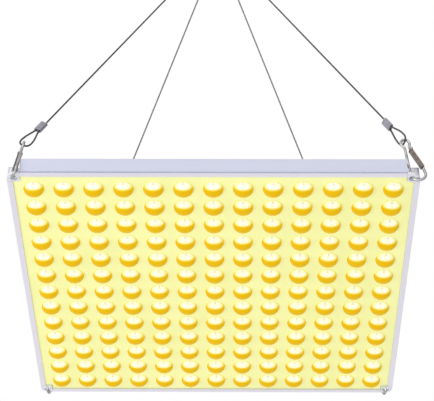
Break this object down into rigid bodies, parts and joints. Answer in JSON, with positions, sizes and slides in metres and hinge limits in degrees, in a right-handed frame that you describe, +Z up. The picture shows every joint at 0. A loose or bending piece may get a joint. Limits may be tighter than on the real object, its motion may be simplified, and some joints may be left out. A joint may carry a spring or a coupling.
{
  "type": "led grow light",
  "caption": "Square hanging LED grow-light panel with clear domed lenses, silver frame, wire-rope hanger with snap hooks, and a boxed driver on its back.",
  "frame": {"origin": "hang point: inside top of the upper snap hook's bow", "axes": "+Z up, lit face looks along -Z, front edge on -Y, mains inlet on +Y"},
  "size_m": [0.3152, 0.3198, 0.4766],
  "materials": {
    "frame": "satin silver anodised",
    "bracket": "cast, satin",
    "wire_steel": "bright zinc-plated wire",
    "pin_steel": "plain",
    "gate_steel": "bright folded sheet",
    "wire_rope": "stranded steel",
    "ferrule": "pressed, dull",
    "screw_steel": "zinc plated",
    "post_brass": "machined",
    "led_board": "pale yellow solder mask",
    "led_chip": "phosphor",
    "lens": "clear moulded acrylic",
    "back_plate": "white powder coat",
    "housing": "white powder coat",
    "circuit_board": "green solder mask",
    "components": "moulded cases",
    "inlet": "black moulded",
    "inlet_pin": "plated blades",
    "grommet": "soft black",
    "lead": "insulated wire"
  },
  "bodies": {
    "hook": {"top_hook": "wire_steel", "top_gate_pin": "pin_steel"},
    "hook_gate": {"top_gate": "gate_steel"},
    "ring": {"top_ring": "wire_steel"},
    "clip_gate_front_left": {"gate_front_left": "gate_steel"},
    "clip_gate_front_right": {"gate_front_right": "gate_steel"},
    "clip_gate_rear_left": {"gate_rear_left": "gate_steel"},
    "clip_gate_rear_right": {"gate_rear_right": "gate_steel"},
    "lamp": {"back_plate": "back_plate", "back_plate_screws": "screw_steel", "board_posts": "post_brass", "clip_front_left": "wire_steel", "clip_front_right": "wire_steel", "clip_rear_left": "wire_steel", "clip_rear_right": "wire_steel", "corner_bracket_front_left": "bracket", "corner_bracket_front_right": "bracket", "corner_bracket_rear_left": "bracket", "corner_bracket_rear_right": "bracket", "driver_board": "circuit_board", "driver_components": "components", "driver_housing": "housing", "driver_posts": "post_brass", "driver_screws": "screw_steel", "front_rail": "frame", "gate_pin_front_left": "pin_steel", "gate_pin_front_right": "pin_steel", "gate_pin_rear_left": "pin_steel", "gate_pin_rear_right": "pin_steel", "housing_screws": "screw_steel", "inlet_body": "inlet", "inlet_pins": "inlet_pin", "lead_grommet": "grommet", "led_board": "led_board", "led_chips": "led_chip", "left_rail": "frame", "lenses": "lens", "lower_ferrule_front_left": "ferrule", "lower_ferrule_front_right": "ferrule", "lower_ferrule_rear_left": "ferrule", "lower_ferrule_rear_right": "ferrule", "output_leads": "lead", "post_screws": "screw_steel", "rear_rail": "frame", "right_rail": "frame", "rope_front_left": "wire_rope", "rope_front_right": "wire_rope", "rope_rear_left": "wire_rope", "rope_rear_right": "wire_rope", "upper_ferrule_front_left": "ferrule", "upper_ferrule_front_right": "ferrule", "upper_ferrule_rear_left": "ferrule", "upper_ferrule_rear_right": "ferrule"}
  },
  "joints": [
    {"name": "hook_gate_hinge", "type": "hinge", "parent": "hook", "child": "hook_gate", "pos_m": [0.00318, 0, -0.03969], "axis": [0, -1, 0], "range_deg": [0, 20], "stiffness_Nm_per_rad": 0.02, "springref_deg": -17.19},
    {"name": "ring_swing", "type": "hinge", "parent": "hook", "child": "ring", "pos_m": [0, 0, -0.05439], "axis": [1, 0, 0], "range_deg": [-40, 40]},
    {"name": "lamp_swing", "type": "hinge", "parent": "ring", "child": "lamp", "pos_m": [0, 0, -0.07137], "axis": [0, 1, 0], "range_deg": [-30, 30]},
    {"name": "clip_gate_front_left_hinge", "type": "hinge", "parent": "lamp", "child": "clip_gate_front_left", "pos_m": [-0.14712, -0.14519, -0.44157], "axis": [-0.9246, -0.3365, 0.1785], "range_deg": [0, 20], "stiffness_Nm_per_rad": 0.01, "springref_deg": -17.19},
    {"name": "clip_gate_front_right_hinge", "type": "hinge", "parent": "lamp", "child": "clip_gate_front_right", "pos_m": [0.14944, -0.1492, -0.44038], "axis": [0, 1, 0], "range_deg": [0, 20], "stiffness_Nm_per_rad": 0.01, "springref_deg": -17.19},
    {"name": "clip_gate_rear_left_hinge", "type": "hinge", "parent": "lamp", "child": "clip_gate_rear_left", "pos_m": [-0.1465, 0.15196, -0.44014], "axis": [-0.9807, 0.1729, 0.0908], "range_deg": [0, 20], "stiffness_Nm_per_rad": 0.01, "springref_deg": -17.19},
    {"name": "clip_gate_rear_right_hinge", "type": "hinge", "parent": "lamp", "child": "clip_gate_rear_right", "pos_m": [0.1465, 0.15196, -0.44014], "axis": [-0.9807, -0.1729, -0.0908], "range_deg": [0, 20], "stiffness_Nm_per_rad": 0.01, "springref_deg": -17.19}
  ]
}
